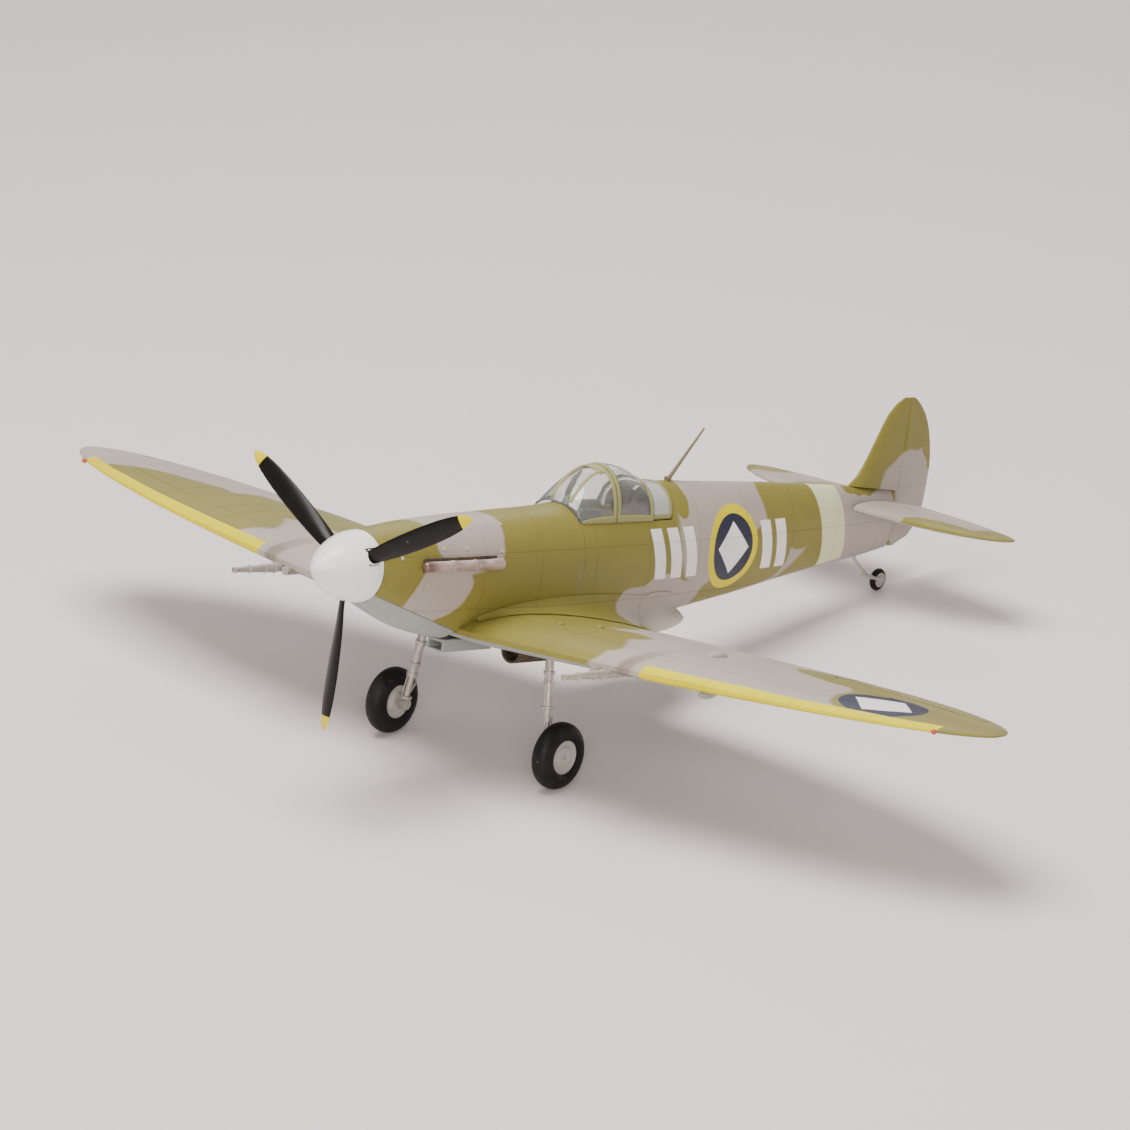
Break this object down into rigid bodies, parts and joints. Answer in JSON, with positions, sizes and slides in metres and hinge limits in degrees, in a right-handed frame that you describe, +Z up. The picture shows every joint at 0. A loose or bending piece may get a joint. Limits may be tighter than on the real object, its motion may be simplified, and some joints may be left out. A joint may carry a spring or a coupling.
{
  "type": "rc warbird plane",
  "caption": "Radio-controlled low-wing warbird in camouflage paint: elliptical wings, three-blade propeller, fixed main wheels, sliding hood and working tail and aileron surfaces.",
  "frame": {"origin": "on the ground, under the middle of the box round the whole aircraft, on its centre line", "axes": "+X towards the nose, +Y across to the port wing tip, +Z up; the aircraft rests on its three wheels, nose raised 13 degrees"},
  "size_m": [0.64, 0.7986, 0.2238],
  "materials": {
    "upper_skin": "satin camouflage paint",
    "lower_skin": "satin sky-blue paint",
    "spinner_white": "gloss",
    "blade_black": "satin, yellow tips",
    "plywood": "bare",
    "motor_dark": "matt",
    "motor_case": "turned",
    "steel": "drawn",
    "electronics": "moulded",
    "nylon": "moulded",
    "clear_glazing": "clear",
    "frosted_glazing": "frosted",
    "cockpit_dark": "matt",
    "seat_brown": "worn",
    "mast_olive": "satin",
    "exhaust_metal": "heat-stained",
    "spar_grey": "carbon tube",
    "aluminium_parts": "satin",
    "brass_parts": "turned",
    "lamp_red": "clear red",
    "hub_grey": "satin",
    "tyre_black": "matt"
  },
  "bodies": {
    "airframe": {"fuselage_left": "upper_skin", "fuselage_right": "upper_skin", "lower_cowl": "lower_skin", "firewall": "plywood", "motor_stator": "motor_dark", "speed_controller": "electronics", "equipment_tray": "plywood", "battery": "electronics", "receiver": "electronics", "wing_plate": "plywood", "servo_tray": "plywood", "tail_servos": "electronics", "tail_bearing": "plywood", "windscreen": "clear_glazing", "rear_glazing": "frosted_glazing", "cockpit_tub": "cockpit_dark", "seat": "seat_brown", "headrest": "seat_brown", "antenna_mast": "mast_olive", "spine_light": "spinner_white", "exhaust_left": "exhaust_metal", "exhaust_right": "exhaust_metal", "carb_intake": "lower_skin", "oil_cooler": "cockpit_dark", "wing_left": "upper_skin", "wing_right": "upper_skin", "fillet_left": "upper_skin", "fillet_right": "upper_skin", "spar_tubes": "spar_grey", "spar_joiner": "aluminium_parts", "wing_bolts": "nylon", "stand_socket": "brass_parts", "aileron_servos": "electronics", "cannons": "aluminium_parts", "nav_lights": "lamp_red", "gear_leg_left": "aluminium_parts", "gear_leg_right": "aluminium_parts", "fin": "upper_skin", "tailplane": "upper_skin"},
    "propeller_unit": {"spinner": "spinner_white", "spinner_backplate": "spinner_white", "propeller": "blade_black", "prop_nut": "steel", "motor_bell": "motor_case", "motor_shaft": "steel"},
    "left_wheel": {"wheel_left": "hub_grey", "tyre_left": "tyre_black"},
    "right_wheel": {"wheel_right": "hub_grey", "tyre_right": "tyre_black"},
    "rudder_body": {"rudder": "upper_skin"},
    "elevator_body": {"elevators": "upper_skin"},
    "left_aileron": {"aileron_left": "upper_skin"},
    "right_aileron": {"aileron_right": "upper_skin"},
    "hood": {"sliding_hood": "clear_glazing"},
    "tail_strut": {"tail_wheel_fork": "aluminium_parts"},
    "tail_roller": {"tail_wheel": "tyre_black"},
    "elevator_lever": {"elevator_arm": "nylon"},
    "rudder_lever": {"rudder_arm": "nylon"},
    "elevator_link": {"elevator_rod": "steel"},
    "rudder_link": {"rudder_rod": "steel"}
  },
  "joints": [
    {"name": "propeller_spin", "type": "hinge", "parent": "airframe", "child": "propeller_unit", "pos_m": [0.32016, 0, 0.17726], "axis": [0.9745, 0, 0.2243], "continuous": true},
    {"name": "left_wheel_spin", "type": "hinge", "parent": "airframe", "child": "left_wheel", "pos_m": [0.16491, 0.0735, 0.0225], "axis": [0, 1, 0], "continuous": true},
    {"name": "right_wheel_spin", "type": "hinge", "parent": "airframe", "child": "right_wheel", "pos_m": [0.16491, -0.0735, 0.0225], "axis": [0, 1, 0], "continuous": true},
    {"name": "rudder_turn", "type": "hinge", "parent": "airframe", "child": "rudder_body", "pos_m": [-0.28425, 0, 0.07922], "axis": [-0.2243, 0, 0.9745], "range_deg": [-25, 25]},
    {"name": "elevator_pitch", "type": "hinge", "parent": "airframe", "child": "elevator_body", "pos_m": [-0.27339, 0, 0.06325], "axis": [0, 1, 0], "range_deg": [-20, 20]},
    {"name": "left_aileron_turn", "type": "hinge", "parent": "airframe", "child": "left_aileron", "pos_m": [0.08757, 0.301, 0.09801], "axis": [0.1409, 0.9853, 0.097], "range_deg": [-20, 20]},
    {"name": "right_aileron_turn", "type": "hinge", "parent": "airframe", "child": "right_aileron", "pos_m": [0.08757, -0.301, 0.09801], "axis": [-0.1409, 0.9853, -0.097], "range_deg": [-20, 20]},
    {"name": "hood_slide", "type": "slide", "parent": "airframe", "child": "hood", "axis": [-0.9745, 0, -0.2243], "range_m": [0, 0.02]},
    {"name": "tail_steer", "type": "hinge", "parent": "airframe", "child": "tail_strut", "pos_m": [-0.23571, 0, 0.02882], "axis": [-0.2243, 0, 0.9745], "range_deg": [-26, 26]},
    {"name": "tail_wheel_spin", "type": "hinge", "parent": "tail_strut", "child": "tail_roller", "pos_m": [-0.26376, 0, 0.008], "axis": [0, 1, 0], "continuous": true},
    {"name": "elevator_lever_turn", "type": "hinge", "parent": "airframe", "child": "elevator_lever", "pos_m": [0.00623, 0.008, 0.10112], "axis": [-0.2243, 0, 0.9745], "range_deg": [-21, 21]},
    {"name": "rudder_lever_turn", "type": "hinge", "parent": "airframe", "child": "rudder_lever", "pos_m": [0.00623, -0.008, 0.10112], "axis": [-0.2243, 0, 0.9745], "range_deg": [-11, 11]},
    {"name": "elevator_link_slide", "type": "slide", "parent": "airframe", "child": "elevator_link", "axis": [-0.9852, -0.057, -0.1617], "range_m": [-0.0032, 0.0032]},
    {"name": "rudder_link_slide", "type": "slide", "parent": "airframe", "child": "rudder_link", "axis": [-0.9734, 0.0536, -0.2228], "range_m": [-0.0014, 0.0014]}
  ],
  "couplings": [
    {"joint": "right_aileron_turn", "follows": "left_aileron_turn", "ratio": -1},
    {"joint": "tail_steer", "follows": "rudder_turn", "ratio": 1},
    {"joint": "rudder_lever_turn", "follows": "rudder_turn", "ratio": 0.325},
    {"joint": "rudder_link_slide", "follows": "rudder_turn", "m_per_rad": -0.0026},
    {"joint": "elevator_lever_turn", "follows": "elevator_pitch", "ratio": 1},
    {"joint": "elevator_link_slide", "follows": "elevator_pitch", "m_per_rad": 0.008}
  ]
}
